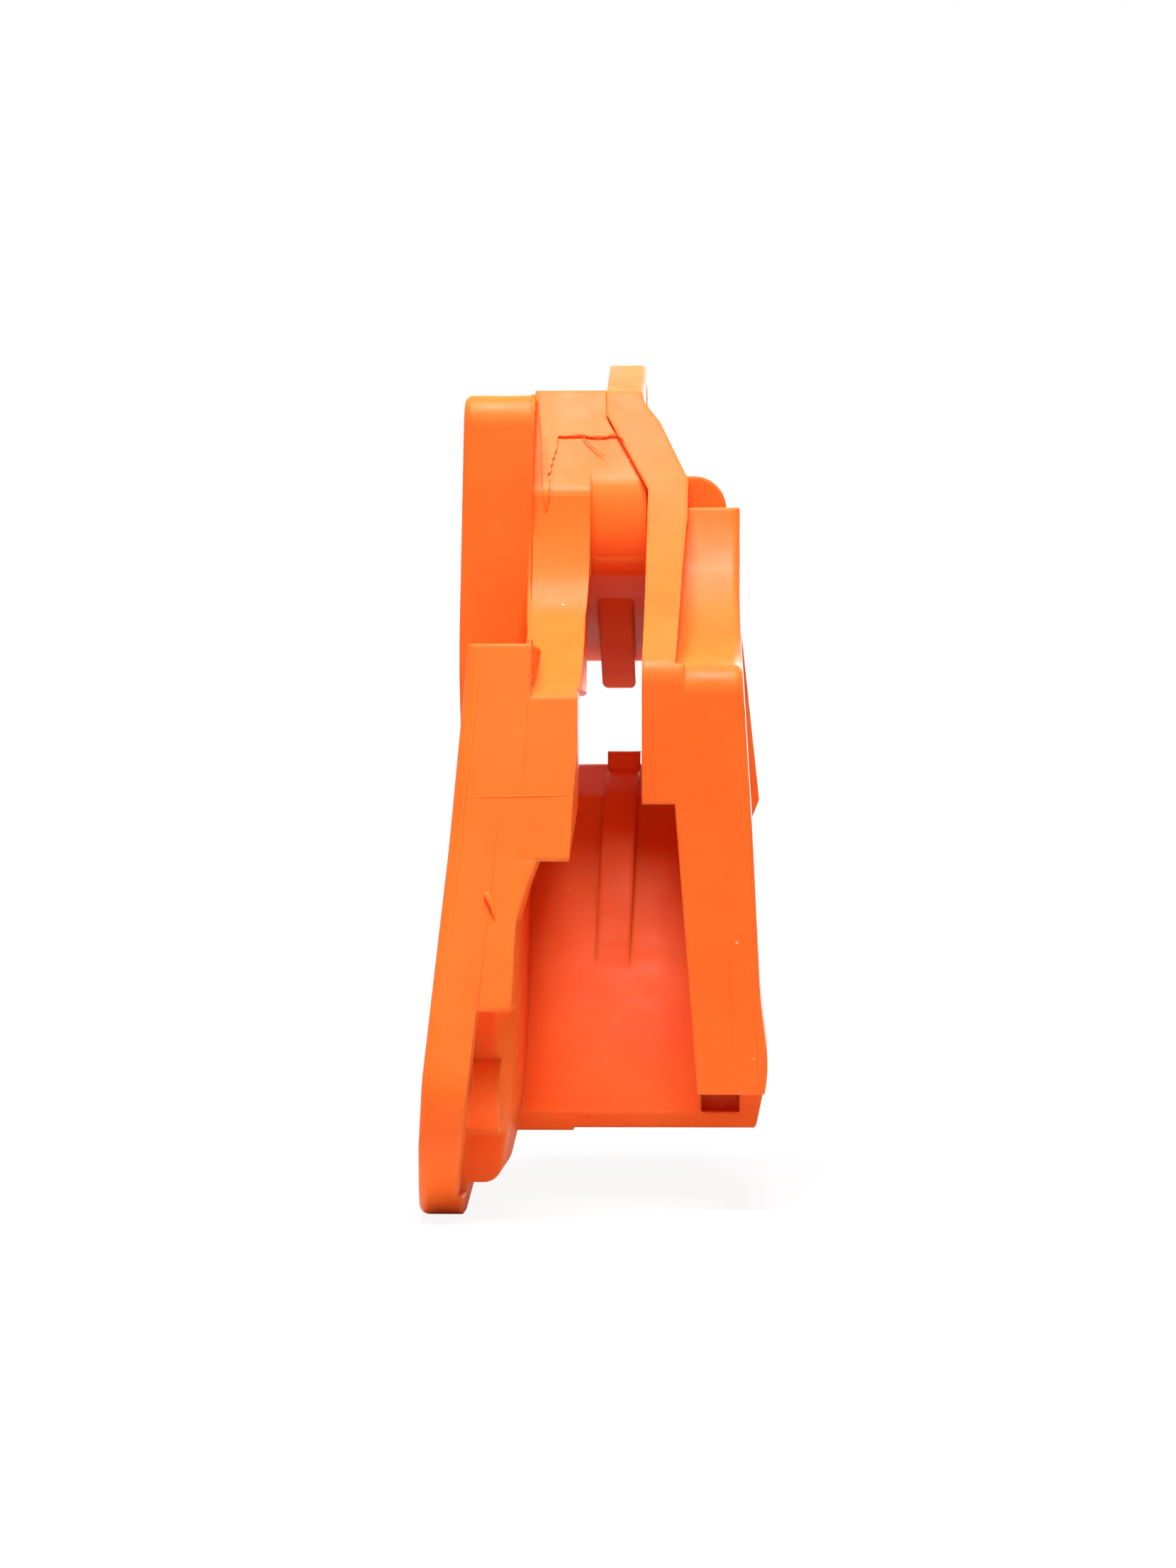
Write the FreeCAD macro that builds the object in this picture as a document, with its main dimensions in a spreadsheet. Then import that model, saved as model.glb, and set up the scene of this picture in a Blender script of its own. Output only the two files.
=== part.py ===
# One-piece cast guide for the chain of an off-road motorcycle.
# The origin is the upper bolt axis on the middle plane of the chain.
# X runs across the chain, Y forward along the bike, Z up. All sizes are in millimetres.
import FreeCAD, Part
import math
import os
import Sketcher

os.makedirs("parts", exist_ok=True)
doc = FreeCAD.newDocument("chain_guide")

# Driving dimensions
# "back" is measured rearwards and "drop" downwards from the upper bolt axis.
DIMENSIONS = {
    # Sprocket, and the point of the roof that it clears
    "sprocket_radius": 131.0,
    "roof_back": 37.1,
    "roof_drop": 14.5,
    "roof_relief": 0.8,
    # Slot for the sprocket and channel for the chain, from the chain's middle plane
    "slot_left": 3.2,
    "slot_right": 5.4,
    "slot_left_low": 4.35,
    "slot_left_middle": 3.9,
    "slot_left_front": 6.3,
    "slot_taper_drop": 53.0,
    "slot_middle_drop": 61.0,
    "left_wall": 11.7,
    "left_wall_front": 13.0,
    "left_wall_front_back": 23.0,
    "left_wall_low": 13.0,
    "right_wall": 10.1,
    "right_wall_low": 13.65,
    # Bridge over the slot and the cheeks beside it
    "cheek_left": 12.2,
    "cheek_right": 11.4,
    "cheek_right_middle": 10.85,
    "cheek_right_low": 10.15,
    "cheek_taper_drop": 20.5,
    "cheek_middle_drop": 27.0,
    "front_forward": 1.0,
    "roof_rise": 0.8,
    "roof_step_back": 18.0,
    "roof_step_drop": 9.0,
    "roof_step_run": 2.5,
    "mouth_top_drop": 40.1,
    "bridge_back": 35.5,
    "bridge_drop": 27.3,
    "bridge_round": 3.0,
    "bridge_nose_round": 8.0,
    "bridge_lap": 3.6,
    "nose_back": 37.0,
    "nose_drop": 28.6,
    "nose_round": 3.0,
    "left_lip_drop": 70.4,
    "left_lip_top_drop": 46.0,
    "left_lip_round": 2.0,
    "scoop_back": 83.0,
    "scoop_radius": 75.0,
    "right_lip_drop": 62.5,
    # Ear with the upper bolt hole
    "ear_left": 1.2,
    "ear_right": 4.35,
    "ear_rise": 0.5,
    "ear_back": 60.0,
    "lug_radius": 6.2,
    "lug_back": 27.0,
    "lug_back_drop": 0.2,
    "lug_top_back": 5.5,
    "lug_back_round": 6.0,
    "lug_front_drop": 6.0,
    "lug_foot_round": 3.0,
    "lug_edge_round": 0.7,
    "bend_top_drop": 0.9,
    "bend_middle": 7.0,
    "bend_middle_drop": 4.4,
    "bend_foot_drop": 13.6,
    "bend_left_drop": 3.2,
    "bend_root_drop": 18.0,
    "bend_round": 3.0,
    "bolt_radius": 3.5,
    # Right plate
    "right_back": 77.0,
    "right_top_drop": 42.4,
    "right_round": 4.4,
    "shoulder_back": 37.5,
    "shoulder_drop": 18.0,
    "shoulder_radius": 37.4,
    "shoulder_foot_back": 72.4,
    "front_round": 6.0,
    "right_stock": 25.0,
    "right_top_width": 19.2,
    "right_top_end_drop": 34.6,
    "right_middle_width": 21.2,
    "right_middle_drop": 67.3,
    "right_low_width": 22.3,
    "right_keel_width": 23.6,
    "right_base_width": 21.7,
    "right_base_round": 1.4,
    "right_top_round": 200.0,
    "right_middle_round": 300.0,
    "right_low_round": 60.0,
    "right_keel_round": 20.0,
    "right_edge_round": 1.1,
    "dome_back": 27.0,
    "dome_width": 17.1,
    "dome_drop": 12.6,
    "dome_round": 5.0,
    "dome_root_drop": 20.0,
    "flange_back": 20.0,
    "flange_width": 22.1,
    "flange_drop": 62.0,
    "flange_top_drop": 20.0,
    "flange_root": 17.5,
    "flange_run_out": 3.0,
    # Left plate, whose lower end is a leg with a rounded foot
    "left_stock": 27.0,
    "leg_back": 85.0,
    "leg_drop": 39.8,
    "leg_inner": 10.0,
    "leg_inner_back": 52.0,
    "foot_back": 107.3,
    "foot_round": 16.4,
    "foot_front_back": 78.0,
    "foot_front_round": 6.0,
    "leg_top_width": 18.9,
    "leg_middle_width": 21.2,
    "leg_middle_drop": 68.9,
    "leg_middle_round": 90.0,
    "leg_low_width": 24.35,
    "leg_low_round": 30.0,
    "leg_foot_width": 24.7,
    "leg_edge_round": 1.4,
    "lip_root_width": 8.86,
    "lip_root_step": 10.0,
    "lip_root_step_drop": 73.3,
    "lip_root_drop": 78.9,
    "lip_root_back": 80.0,
    "block_back": 38.0,
    "block_drop": 0.7,
    "block_round": 4.7,
    "block_front_round": 8.0,
    "block_left": 22.3,
    "block_middle": 23.1,
    "block_middle_drop": 37.6,
    "block_foot_drop": 44.0,
    "block_foot": 22.85,
    "block_right": 11.9,
    "block_stock": 24.0,
    "block_low_drop": 53.0,
    "block_edge_round": 1.2,
    # Foot: recess, boss for the lower bolt and step under it, left to right
    "split_top": 17.0,
    "split_low": 18.9,
    "split_foot": 19.9,
    "recess_back": 90.2,
    "boss_radius": 5.0,
    "boss_back": 89.5,
    "boss_right": 14.0,
    "step_back": 87.5,
    "step_right": 14.4,
    "step_round": 2.5,
    "inner_chamfer": 14.7,
    "inner_chamfer_back": 84.0,
    "foot_inner": 12.9,
    "foot_bolt_radius": 2.6,
    "foot_bolt_end": 15.5,
    # Floor of the channel with its near lip and its ribs
    "forward": 3.0,
    "belly_drop": 66.0,
    "keel_back": 47.0,
    "keel_drop": 110.1,
    "floor_back": 55.0,
    "floor_left": 15.2,
    "floor_right": 13.9,
    "ramp_radius": 180.0,
    "crest_back": 9.0,
    "crest_drop": 61.4,
    "mouth_drop": 56.4,
    "mouth_round": 3.0,
    "rib_left": 1.7,
    "rib_right": 3.45,
    "rib_lean": 2.0,
    "rib_back": 31.0,
    "rib_knee_back": 10.5,
    "rib_knee_drop": 60.0,
    "rib_knee_round": 25.0,
    "rib_nub_back": 2.0,
    "rib_nub_drop": 57.4,
    "rib_top_drop": 54.4,
    "rib_round": 1.0,
    "rib_end_forward": 2.2,
    "rib_root_back": 27.0,
    "rib_heel_drop": 60.0,
    "roof_rib_left": 2.6,
    "roof_rib_right": 2.65,
    "roof_rib_drop": 44.4,
    "roof_rib_back": 24.0,
    "roof_rib_end_drop": 31.2,
    "roof_rib_round": 0.9,
    "lip_step_right": 5.2,
    "lip_step_forward_back": 49.0,
    "pocket_left": 13.6,
    "pocket_right": 19.2,
    "pocket_depth": 6.0,
    # Heights above the underside of the floor
    "floor_lip_height": 2.3,
    "right_leg_height": 6.2,
    "right_low_height": 19.8,
    "right_keel_height": 9.5,
    "right_base_height": 0.4,
    "leg_low_height": 9.5,
    "recess_height": 19.0,
    "boss_height": 6.9,
    "step_height": 1.5,
    "rib_height": 22.1,
    "rib_root_height": 22.6,
    "lip_step_height": 1.5,
    "foot_side_height": 4.1,
    # Depths below the underside of the floor
    "foot_reach": 10.1,
    "step_reach": 5.5,
    "lip_step_reach": 0.4,
}
# The sprocket's axis lies up and back from the roof, at this slope from level
SPROCKET_LEAN = math.radians(44.3)
# Outward run of the left leg's outer face for each millimetre forward
LEG_SPREAD = 0.055
# How far a cut or a wall runs on past what it has to reach
OVER = 2.0


class Size:
    """A number together with the sheet expression that it comes from."""

    def __init__(self, value, text):
        self.value = float(value)
        self.text = text

    def __neg__(self):
        return Size(-self.value, "-(%s)" % self.text)

    def __add__(self, other):
        other = as_size(other)
        return Size(self.value + other.value, "(%s + %s)" % (self.text, other.text))

    def __sub__(self, other):
        other = as_size(other)
        return Size(self.value - other.value, "(%s - %s)" % (self.text, other.text))

    def __mul__(self, other):
        other = as_size(other)
        return Size(self.value * other.value, "(%s * %s)" % (self.text, other.text))

    def __truediv__(self, other):
        other = as_size(other)
        return Size(self.value / other.value, "(%s / %s)" % (self.text, other.text))


def as_size(number):
    if isinstance(number, Size):
        return number
    return Size(number, "%.6f" % number)


def write_sheet():
    sheet = doc.addObject("Spreadsheet::Sheet", "Sizes")
    for row, (alias, value) in enumerate(DIMENSIONS.items(), start=1):
        sheet.set("A%d" % row, alias)
        sheet.set("B%d" % row, str(value))
        sheet.setAlias("B%d" % row, alias)
    doc.recompute()
    return sheet


def of(alias):
    return Size(DIMENSIONS[alias], "Sizes." + alias)


def above_keel(alias):
    return -of("keel_drop") + of(alias)


def below_keel(alias):
    return -of("keel_drop") - of(alias)


sheet = write_sheet()
body = doc.addObject("PartDesign::Body", "guide_body")
body.Label = "guide_body"
PLANES = {feature.Role: feature for feature in body.Origin.OriginFeatures}


# Sketches
class Corner:
    """A corner of an outline, rounded or not, whose next edge is a line or an arc."""

    def __init__(self, across, up, rounding=None, arc=None, left=True):
        self.across = as_size(across)
        self.up = as_size(up)
        self.rounding = rounding
        self.arc = arc
        self.left = left

    def point(self):
        return FreeCAD.Vector(self.across.value, self.up.value, 0)


def arc_between(start, end, radius, left):
    """Arc from start to end, with its centre on the left or right of the way there."""
    chord = end - start
    height = math.sqrt(max(radius * radius - chord.Length * chord.Length / 4, 0))
    side = FreeCAD.Vector(-chord.y, chord.x, 0).normalize()
    centre = (start + end) * 0.5 + side * (height if left else -height)
    first, last = (start, end) if left else (end, start)
    angles = [math.atan2(point.y - centre.y, point.x - centre.x) for point in (first, last)]
    circle = Part.Circle(centre, FreeCAD.Vector(0, 0, 1), radius)
    return Part.ArcOfCircle(circle, angles[0], angles[1])


def trim(before, corner, after, radius):
    """Both ends of the rounding at a corner, and whether the path turns left there."""
    back = (before - corner).normalize()
    ahead = (after - corner).normalize()
    half = back.getAngle(ahead) / 2
    reach = radius / math.tan(half)
    turns_left = back.cross(ahead).z < 0
    return corner + back * reach, corner + ahead * reach, turns_left


def bind(sketch, constraint, size):
    index = sketch.addConstraint(constraint)
    sketch.setExpression("Constraints[%d]" % index, size.text)


def fix_point(sketch, geometry, position, corner):
    across = Sketcher.Constraint("DistanceX", -1, 1, geometry, position, corner.across.value)
    up = Sketcher.Constraint("DistanceY", -1, 1, geometry, position, corner.up.value)
    bind(sketch, across, corner.across)
    bind(sketch, up, corner.up)


def draw_outline(sketch, corners):
    count = len(corners)
    points = [corner.point() for corner in corners]
    entries = list(points)
    exits = list(points)
    turns = [False] * count
    for i, corner in enumerate(corners):
        if corner.rounding:
            ends = trim(points[i - 1], points[i], points[(i + 1) % count], corner.rounding.value)
            entries[i], exits[i], turns[i] = ends
    edges = []
    for i, corner in enumerate(corners):
        after = (i + 1) % count
        if corner.arc:
            curve = arc_between(exits[i], entries[after], corner.arc.value, corner.left)
            ends = (1, 2) if corner.left else (2, 1)
        else:
            curve = Part.LineSegment(exits[i], entries[after])
            ends = (1, 2)
        edges.append((sketch.addGeometry(curve, False), ends))
    for i, corner in enumerate(corners):
        this, (this_start, this_end) = edges[i]
        last, (last_start, last_end) = edges[i - 1]
        if corner.arc:
            bind(sketch, Sketcher.Constraint("Radius", this, corner.arc.value), corner.arc)
        if not corner.rounding:
            sketch.addConstraint(Sketcher.Constraint("Coincident", last, last_end, this, this_start))
            fix_point(sketch, this, this_start, corner)
            continue
        bend = arc_between(entries[i], exits[i], corner.rounding.value, turns[i])
        round_edge = sketch.addGeometry(bend, False)
        bend_start, bend_end = (1, 2) if turns[i] else (2, 1)
        sketch.addConstraint(Sketcher.Constraint("Tangent", last, last_end, round_edge, bend_start))
        sketch.addConstraint(Sketcher.Constraint("Tangent", round_edge, bend_end, this, this_start))
        bind(sketch, Sketcher.Constraint("Radius", round_edge, corner.rounding.value), corner.rounding)
        mark = sketch.addGeometry(Part.Point(points[i]), True)
        fix_point(sketch, mark, 1, corner)
        sketch.addConstraint(Sketcher.Constraint("PointOnObject", mark, 1, last))
        sketch.addConstraint(Sketcher.Constraint("PointOnObject", mark, 1, this))


def draw_circle(sketch, across, up, radius):
    centre = FreeCAD.Vector(across.value, up.value, 0)
    circle = Part.Circle(centre, FreeCAD.Vector(0, 0, 1), radius.value)
    index = sketch.addGeometry(circle, False)
    fix_point(sketch, index, 3, Corner(across, up))
    bind(sketch, Sketcher.Constraint("Radius", index, radius.value), radius)


def new_sketch(name, plane, offset, turn=None):
    """Sketch on a plane at an offset, turned by some degrees about its own upright."""
    sketch = body.newObject("Sketcher::SketchObject", name)
    sketch.AttachmentSupport = [(PLANES[plane], "")]
    sketch.MapMode = "FlatFace"
    place = FreeCAD.Placement(FreeCAD.Vector(0, 0, offset.value), FreeCAD.Rotation())
    if turn:
        place.Rotation = FreeCAD.Rotation(FreeCAD.Vector(0, 1, 0), turn.value)
    sketch.AttachmentOffset = place
    sketch.setExpression("AttachmentOffset.Base.z", offset.text)
    if turn:
        sketch.setExpression("AttachmentOffset.Rotation.Angle", turn.text)
    return sketch


def pad(name, plane, start, end, corners, turn=None):
    """Solid of an outline from one distance to another along the plane's normal."""
    sketch = new_sketch(name + "_outline", plane, start, turn)
    draw_outline(sketch, corners)
    doc.recompute()
    feature = body.newObject("PartDesign::Pad", name)
    feature.Profile = sketch
    feature.Length = (end - start).value
    feature.setExpression("Length", (end - start).text)
    doc.recompute()
    return feature


def pocket(name, sketch, depth=None, along=False):
    """Cut of a sketch: both ways through everything, or a depth against or along its normal."""
    before = body.Shape.Volume
    feature = body.newObject("PartDesign::Pocket", name)
    feature.Profile = sketch
    if depth:
        feature.Type = 0
        feature.Length = depth.value
        feature.setExpression("Length", depth.text)
        feature.Reversed = along
    else:
        feature.Type = 1
        feature.Midplane = True
    doc.recompute()
    if not body.Shape.Volume < before - 0.01:
        raise RuntimeError(name + " cuts nothing")
    return feature


def cut(name, plane, offset, corners, depth=None, turn=None):
    sketch = new_sketch(name + "_outline", plane, offset, turn)
    draw_outline(sketch, corners)
    doc.recompute()
    return pocket(name, sketch, depth)


def clear_disc(name, radius):
    """The room that the sprocket and its chain turn in."""
    sketch = new_sketch(name + "_outline", "YZ_Plane", of("slot_right"))
    back = of("roof_back") + of("sprocket_radius") * math.cos(SPROCKET_LEAN)
    rise = of("sprocket_radius") * math.sin(SPROCKET_LEAN) - of("roof_drop")
    draw_circle(sketch, -back, rise, radius)
    doc.recompute()
    return pocket(name, sketch)


# Roundings
def along_x(edge):
    ends = [vertex.Point for vertex in edge.Vertexes]
    return len(ends) == 2 and abs(ends[0].y - ends[1].y) < 0.01 and abs(ends[0].z - ends[1].z) < 0.01


def fillet(name, radius, wanted):
    """Rounding of every edge that the test picks."""
    names = ["Edge%d" % i for i, edge in enumerate(body.Shape.Edges, start=1) if wanted(edge)]
    if not names:
        raise RuntimeError(name + " finds no edge")
    base = body.Tip
    feature = body.newObject("PartDesign::Fillet", name)
    feature.Base = (base, names)
    feature.Radius = radius.value
    feature.setExpression("Radius", radius.text)
    doc.recompute()
    return feature


def spans(edge, low, high):
    """Whether an edge lies between two corners of a box, each with None where it is open."""
    box = edge.BoundBox
    least = (box.XMin, box.YMin, box.ZMin)
    most = (box.XMax, box.YMax, box.ZMax)
    fits = [limit is None or value > limit - 0.01 for value, limit in zip(least, low)]
    fits += [limit is None or value < limit + 0.01 for value, limit in zip(most, high)]
    return all(fits)


def at_back(alias):
    """The uppermost edges across the guide at a distance back."""
    def level(edge):
        return along_x(edge) and abs(edge.CenterOfMass.y + of(alias).value) < 0.01

    top = max(edge.CenterOfMass.z for edge in body.Shape.Edges if level(edge))
    return lambda edge: level(edge) and abs(edge.CenterOfMass.z - top) < 0.01


# Run of the left leg's rear face, rearwards for each millimetre down
LEG_SLOPE = (of("foot_back") - of("leg_back")) / (of("keel_drop") + of("foot_reach") - of("leg_drop"))


def leg_front(drop):
    """How far back the left leg's rear face stands at a drop."""
    return of("leg_back") + (drop - of("leg_drop")) * LEG_SLOPE


left_lip_back = leg_front(of("left_lip_drop"))
left_lip_top_back = leg_front(of("left_lip_top_drop"))


def under_left_cheek(back):
    """Height of the left cheek's underside at a distance back."""
    fall = (of("left_lip_drop") - of("mouth_top_drop")) / (left_lip_back + of("front_forward"))
    return -of("mouth_top_drop") - (back + of("front_forward")) * fall


# Left cheek, whose face in the slot tapers towards the front and towards its lip
left_cheek = pad("left_cheek", "YZ_Plane", -of("cheek_left"), -of("slot_left"), [
    Corner(of("front_forward"), -of("mouth_top_drop")),
    Corner(-left_lip_back, -of("left_lip_drop")),
    Corner(-left_lip_top_back, -of("left_lip_top_drop"), rounding=of("left_lip_round")),
    Corner(-of("scoop_back"), -of("left_lip_top_drop"), arc=of("scoop_radius"), left=True),
    Corner(-of("nose_back"), -of("nose_drop")),
    Corner(-of("nose_back"), of("roof_rise")),
    Corner(-of("roof_step_back"), of("roof_rise")),
    Corner(-of("roof_step_back") + of("roof_step_run"), -of("roof_step_drop")),
    Corner(of("front_forward"), -of("roof_step_drop")),
])
slot_upper = cut("slot_upper", "XY_Plane", -of("nose_drop"), [
    Corner(-of("slot_left"), -left_lip_back),
    Corner(-of("slot_left_middle"), -of("bridge_back")),
    Corner(-of("slot_left_front"), of("forward")),
    Corner(OVER, of("forward")),
    Corner(OVER, -left_lip_back),
], depth=of("left_lip_top_drop") - of("nose_drop"))
slot_lower = cut("slot_lower", "XY_Plane", -of("left_lip_top_drop"), [
    Corner(-of("slot_left"), -left_lip_back),
    Corner(-of("slot_left_front"), of("forward")),
    Corner(OVER, of("forward")),
    Corner(OVER, -left_lip_back),
], depth=of("left_lip_drop") - of("left_lip_top_drop") + OVER)
lip_taper = cut("lip_taper", "XZ_Plane", of("leg_back"), [
    Corner(-of("slot_left"), -of("slot_taper_drop")),
    Corner(-of("slot_left_middle"), -of("slot_middle_drop")),
    Corner(-of("slot_left_low"), -of("left_lip_drop") - 0.1),
    Corner(0, -of("left_lip_drop") - 0.1),
    Corner(0, -of("slot_taper_drop")),
])

# Bridge over the slot, which stays inside the ear and its bend on the right
bridge = pad("bridge", "YZ_Plane", -of("slot_left") - of("bridge_lap"), of("slot_right"), [
    Corner(of("front_forward"), -of("mouth_top_drop")),
    Corner(-of("bridge_back"), -of("bridge_drop"), rounding=of("bridge_round")),
    Corner(-of("bridge_back"), of("roof_rise")),
    Corner(-of("roof_step_back"), of("roof_rise")),
    Corner(-of("roof_step_back") + of("roof_step_run"), -of("roof_step_drop")),
    Corner(of("front_forward"), -of("roof_step_drop")),
])
bend_cut = cut("bend_cut", "XZ_Plane", of("bridge_back"), [
    Corner(of("ear_right") - 1.0, of("roof_rise") + OVER),
    Corner(of("ear_right") - 1.0, -of("bend_left_drop")),
    Corner(of("slot_right") + 0.2, -of("bend_left_drop") - 3.0),
    Corner(of("slot_right") + OVER, of("roof_rise") + OVER),
])
roof_disc = clear_disc("roof_disc", of("sprocket_radius") + of("roof_relief"))
nose_fillet = fillet("nose_fillet", of("nose_round"), at_back("nose_back"))
bridge_fillet = fillet("bridge_fillet", of("bridge_nose_round"), at_back("bridge_back"))

# Right cheek, bending left above into the ear
right_cheek = pad("right_cheek", "YZ_Plane", of("slot_right"), of("cheek_right"), [
    Corner(of("front_forward"), -of("mouth_top_drop")),
    Corner(of("front_forward"), -of("bend_foot_drop")),
    Corner(-of("right_back"), -of("bend_foot_drop")),
    Corner(-of("right_back"), -of("right_lip_drop")),
])
ear = pad("ear", "XZ_Plane", -of("front_forward"), of("ear_back"), [
    Corner(-of("ear_left"), of("ear_rise")),
    Corner(of("ear_right"), of("ear_rise")),
    Corner(of("ear_right"), -of("bend_top_drop"), rounding=of("bend_round")),
    Corner(of("bend_middle"), -of("bend_middle_drop")),
    Corner(of("cheek_right"), -of("bend_foot_drop")),
    Corner(of("cheek_right"), -of("bend_root_drop")),
    Corner(of("slot_right"), -of("bend_root_drop")),
    Corner(of("slot_right"), -of("bend_foot_drop") - 1.7),
    Corner(-of("ear_left"), -of("bend_left_drop")),
])
lug = pad("lug", "YZ_Plane", -of("ear_left"), of("ear_right"), [
    Corner(-of("lug_back"), -of("lug_back_drop")),
    Corner(-of("lug_top_back"), of("lug_radius"), rounding=of("lug_back_round")),
    Corner(of("lug_radius"), of("lug_radius"), rounding=of("lug_radius")),
    Corner(of("lug_radius"), -of("lug_front_drop"), rounding=of("lug_foot_round")),
    Corner(of("front_forward"), -of("bend_root_drop")),
    Corner(-of("lug_back"), -of("bend_root_drop")),
])
right_disc = clear_disc("right_disc", of("sprocket_radius"))
lug_fillet = fillet("lug_fillet", of("lug_edge_round"), lambda edge: spans(
    edge, (of("ear_right").value, None, of("ear_rise").value),
    (of("ear_right").value, None, None)))
cheek_fillet = fillet("cheek_fillet", of("right_round"), at_back("right_back"))
cheek_draft = cut("cheek_draft", "XZ_Plane", of("right_back"), [
    Corner(of("cheek_right") - 0.1, -of("cheek_taper_drop")),
    Corner(of("cheek_right_middle"), -of("cheek_middle_drop")),
    Corner(of("cheek_right_low"), -of("right_top_drop")),
    Corner(of("cheek_right") + OVER, -of("right_top_drop")),
    Corner(of("cheek_right") + OVER, -of("cheek_taper_drop")),
])

# Right plate: shoulder, leg and the side of the channel
right_plate = pad("right_plate", "YZ_Plane", of("right_wall"), of("right_stock"), [
    Corner(-of("right_back"), above_keel("right_leg_height")),
    Corner(-of("right_back"), -of("right_top_drop"), rounding=of("right_round")),
    Corner(-of("shoulder_foot_back"), -of("right_top_drop"), arc=of("shoulder_radius"), left=True),
    Corner(-of("shoulder_back"), -of("shoulder_drop")),
    Corner(of("forward"), -of("shoulder_drop"), rounding=of("front_round")),
    Corner(of("forward"), -of("belly_drop")),
    Corner(-of("keel_back"), -of("keel_drop")),
    Corner(-of("floor_back"), -of("keel_drop")),
    Corner(-of("floor_back"), above_keel("right_leg_height")),
])
right_side = cut("right_side", "XZ_Plane", of("right_back"), [
    Corner(of("right_top_width"), -of("dome_drop")),
    Corner(of("right_top_width"), -of("right_top_end_drop"), rounding=of("right_top_round")),
    Corner(of("right_middle_width"), -of("right_middle_drop"), rounding=of("right_middle_round")),
    Corner(of("right_low_width"), above_keel("right_low_height"), rounding=of("right_low_round")),
    Corner(of("right_keel_width"), above_keel("right_keel_height"), rounding=of("right_keel_round")),
    Corner(of("right_base_width"), above_keel("right_base_height"), rounding=of("right_base_round")),
    Corner(of("right_base_width") - OVER, -of("keel_drop") - OVER),
    Corner(of("right_stock") + OVER, -of("keel_drop") - OVER),
    Corner(of("right_stock") + OVER, -of("dome_drop")),
])
right_fillet = fillet("right_fillet", of("right_edge_round"), lambda edge: spans(
    edge, (of("right_top_width").value - 1, None, above_keel("right_leg_height").value),
    (None, -of("shoulder_foot_back").value - 0.1, None)))
dome = pad("dome", "XZ_Plane", -of("front_forward"), of("dome_back"), [
    Corner(of("right_wall"), -of("dome_drop")),
    Corner(of("dome_width"), -of("dome_drop"), rounding=of("dome_round")),
    Corner(of("dome_width"), -of("dome_root_drop")),
    Corner(of("right_wall"), -of("dome_root_drop")),
])
flange = pad("flange", "XZ_Plane", -of("front_forward"), of("flange_back"), [
    Corner(of("flange_root"), -of("flange_top_drop")),
    Corner(of("right_top_width"), -of("right_top_end_drop")),
    Corner(of("flange_width"), -of("flange_drop")),
    Corner(of("flange_width") - 1.2, -of("flange_drop") - of("flange_run_out")),
    Corner(of("flange_root"), -of("flange_drop") - of("flange_run_out")),
])

# Left plate: a leg with a rounded foot, spreading outwards to the front
leg = pad("leg", "YZ_Plane", -of("left_stock"), -of("left_wall"), [
    Corner(-of("leg_back"), -of("leg_drop")),
    Corner(-of("foot_back"), below_keel("foot_reach"), rounding=of("foot_round")),
    Corner(-of("foot_front_back"), below_keel("foot_reach"), rounding=of("foot_front_round")),
    Corner(-of("keel_back"), -of("keel_drop")),
    Corner(of("forward"), -of("belly_drop")),
    Corner(of("forward"), -of("leg_drop")),
])


def leg_side_at(width, drop):
    """Place on the turned outline of the leg's outer face for its width at the rear face."""
    return -(of(width) + leg_front(drop) * LEG_SPREAD) * math.cos(math.atan(LEG_SPREAD))


leg_side = cut("leg_side", "XZ_Plane", as_size(0), [
    Corner(leg_side_at("leg_top_width", of("leg_drop")), -of("leg_drop")),
    Corner(leg_side_at("leg_middle_width", of("leg_middle_drop")), -of("leg_middle_drop"),
           rounding=of("leg_middle_round")),
    Corner(leg_side_at("leg_low_width", -above_keel("leg_low_height")),
           above_keel("leg_low_height"), rounding=of("leg_low_round")),
    Corner(leg_side_at("leg_foot_width", of("keel_drop")), -of("keel_drop")),
    Corner(leg_side_at("leg_foot_width", of("keel_drop")), below_keel("foot_reach") - OVER),
    Corner(-of("left_stock") * 2, below_keel("foot_reach") - OVER),
    Corner(-of("left_stock") * 2, -of("leg_drop")),
], turn=as_size(math.degrees(math.atan(LEG_SPREAD))))
leg_fillet = fillet("leg_fillet", of("leg_edge_round"), lambda edge: spans(
    edge, (None, None, -of("keel_drop").value + 1),
    (-of("leg_top_width").value + 0.5, -of("leg_back").value + 12, None)))
leg_inner = pad("leg_inner", "YZ_Plane", -of("left_wall"), -of("leg_inner"), [
    Corner(-of("leg_back"), -of("leg_drop")),
    Corner(-left_lip_back, -of("left_lip_drop")),
    Corner(-of("leg_inner_back"), under_left_cheek(of("leg_inner_back"))),
    Corner(-of("leg_inner_back"), -of("leg_drop")),
])
left_draft = cut("left_draft", "XZ_Plane", of("leg_back"), [
    Corner(-of("left_wall"), -of("lip_root_drop")),
    Corner(-of("left_wall_low"), -of("keel_drop")),
    Corner(-of("left_wall") + OVER, -of("keel_drop")),
    Corner(-of("left_wall") + OVER, -of("lip_root_drop")),
])
left_spread = cut("left_spread", "XY_Plane", -of("left_lip_drop"), [
    Corner(-of("left_wall"), -left_lip_back),
    Corner(-of("left_wall_front"), -of("left_wall_front_back")),
    Corner(-of("left_wall_front"), of("forward") + OVER),
    Corner(0, of("forward") + OVER),
    Corner(0, -left_lip_back),
], depth=of("keel_drop") + of("foot_reach") - of("left_lip_drop"))
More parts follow.
